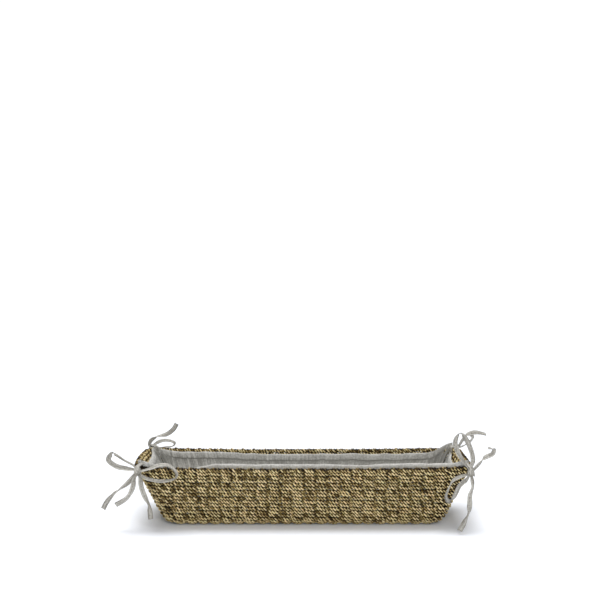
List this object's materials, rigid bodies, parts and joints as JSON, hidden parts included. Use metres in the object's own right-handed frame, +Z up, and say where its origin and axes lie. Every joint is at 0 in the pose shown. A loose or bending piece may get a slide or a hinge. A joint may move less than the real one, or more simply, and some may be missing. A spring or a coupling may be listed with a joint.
{
  "type": "bread basket",
  "caption": "Long shallow basket of twined seagrass cord with sloping walls and a cloth liner tied at its four corners with ribbon bows, for bread.",
  "frame": {"origin": "the middle of the flat base, on the surface that the basket stands on", "axes": "+X along the basket's length to the viewer's right, +Y towards its back, +Z up; the fuller bows are at the front corners, at -Y"},
  "size_m": [0.5941, 0.2243, 0.142],
  "materials": {
    "seagrass": "dry twisted plant fibre, dark olive brown to straw",
    "seagrass_stakes": "dry twisted plant fibre, darker",
    "linen": "soft plain-woven linen, warm grey",
    "ribbon_linen": "narrow folded linen ribbon, light warm grey"
  },
  "bodies": {
    "root": {"base_mat": "seagrass", "wall_course_01": "seagrass", "wall_course_02": "seagrass", "wall_course_03": "seagrass", "wall_course_04": "seagrass", "wall_course_05": "seagrass", "wall_course_06": "seagrass", "wall_course_07": "seagrass", "wall_course_08": "seagrass", "wall_course_09": "seagrass", "wall_course_10": "seagrass", "wall_course_11": "seagrass", "wall_course_12": "seagrass", "wall_course_13": "seagrass", "wall_course_14": "seagrass", "wall_course_15": "seagrass", "wall_course_16": "seagrass", "wall_course_17": "seagrass", "rim_border": "seagrass", "stake_lattice": "seagrass_stakes", "liner_floor": "linen", "liner_front": "linen", "liner_back": "linen", "liner_end_left": "linen", "liner_end_right": "linen", "liner_hem_front": "linen", "liner_hem_back": "linen", "liner_hem_end_left": "linen", "liner_hem_end_right": "linen", "front_left_strap": "ribbon_linen", "front_right_strap": "ribbon_linen", "back_left_strap": "ribbon_linen", "back_right_strap": "ribbon_linen", "front_left_knot": "ribbon_linen", "front_right_knot": "ribbon_linen", "back_left_knot": "ribbon_linen", "back_right_knot": "ribbon_linen", "front_left_loop_outer": "ribbon_linen", "front_left_loop_inner": "ribbon_linen", "front_left_tail_long": "ribbon_linen", "front_left_tail_short": "ribbon_linen", "front_left_tail_inner": "ribbon_linen", "front_right_loop_upper": "ribbon_linen", "front_right_loop_lower": "ribbon_linen", "front_right_tail_up": "ribbon_linen", "front_right_tail_down": "ribbon_linen", "back_left_loop": "ribbon_linen", "back_left_tail_up": "ribbon_linen", "back_left_tail_down": "ribbon_linen", "back_right_loop": "ribbon_linen", "back_right_tail_out": "ribbon_linen", "back_right_tail_down": "ribbon_linen"}
  },
  "joints": []
}
